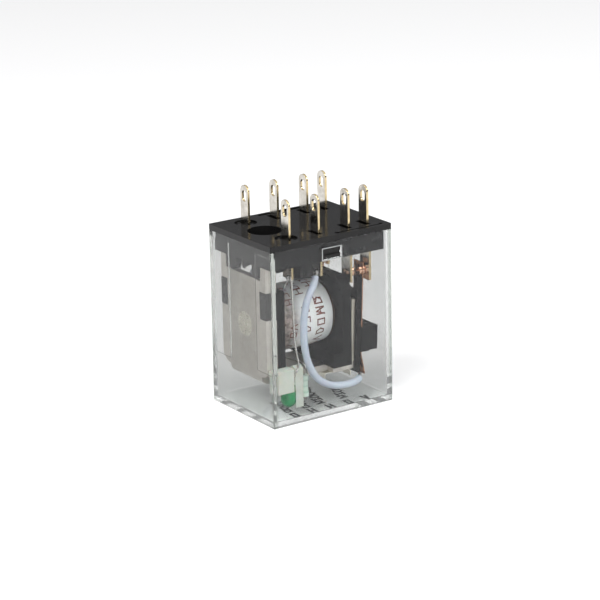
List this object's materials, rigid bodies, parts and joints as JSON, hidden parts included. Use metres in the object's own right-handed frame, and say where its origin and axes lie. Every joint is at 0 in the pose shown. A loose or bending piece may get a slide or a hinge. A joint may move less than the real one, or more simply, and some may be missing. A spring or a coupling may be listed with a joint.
{
  "type": "plug-in relay",
  "caption": "Miniature plug-in relay in a clear press-fit cover, with flat blades, a coil, a hinged armature, changeover contacts and an indicator lamp.",
  "frame": {"origin": "centre of the cover's closed face, where the relay stands with its blades up", "axes": "+Z towards the blades, X along the long side with the contact end at +X and the coil blades at -X, Y along the short side"},
  "size_m": [0.028, 0.0216, 0.0435],
  "materials": {
    "clear_cover": "clear, polished",
    "black_plastic": "moulded, half gloss",
    "plated_blade": "tin plated, bright",
    "contact_metal": "silver alloy on copper, satin",
    "enamelled_wire": "enamelled copper",
    "coil_tape": "thin film, satin",
    "soft_iron": "nickel plated, satin",
    "spring_steel": "satin",
    "shim_brass": "satin",
    "spring_copper": "copper alloy, satin",
    "wire_insulation": "soft, half gloss",
    "solder": "cooled solder",
    "lamp_green": "tinted clear resin",
    "holder_plastic": "moulded, satin",
    "tinned_wire": "bright",
    "resistor_body": "painted ceramic"
  },
  "bodies": {
    "case": {"cover": "clear_cover", "base": "black_plastic", "coil_terminal_a": "plated_blade", "coil_terminal_b": "plated_blade", "com_terminal_a": "plated_blade", "com_terminal_b": "plated_blade", "no_terminal_a": "plated_blade", "no_terminal_b": "plated_blade", "nc_terminal_a": "plated_blade", "nc_terminal_b": "plated_blade", "no_contact_a": "contact_metal", "no_contact_b": "contact_metal", "nc_contact_a": "contact_metal", "nc_contact_b": "contact_metal", "bobbin": "black_plastic", "winding": "enamelled_wire", "coil_tape": "coil_tape", "coil_leads": "enamelled_wire", "core": "soft_iron", "yoke": "soft_iron", "hinge_spring": "spring_steel", "lead_wire_a": "wire_insulation", "lead_wire_b": "wire_insulation", "com_solder_joints": "solder", "lamp": "lamp_green", "lamp_holder": "holder_plastic", "lamp_leads": "tinned_wire", "resistor": "resistor_body"},
    "armature_group": {"armature": "soft_iron", "residual_shim": "shim_brass", "moving_block": "black_plastic", "armature_rivets": "soft_iron", "contact_spring_a": "spring_copper", "contact_spring_b": "spring_copper", "moving_contact_a": "contact_metal", "moving_contact_b": "contact_metal", "spring_solder_joints": "solder"}
  },
  "joints": [
    {"name": "armature_pivot", "type": "hinge", "parent": "case", "child": "armature_group", "pos_m": [0.00635, 0, 0.00915], "axis": [0, 1, 0], "range_deg": [-2.4, 0], "stiffness_Nm_per_rad": 0.02, "springref_deg": 8.59, "deforming": ["lead_wire_a", "lead_wire_b"]}
  ]
}
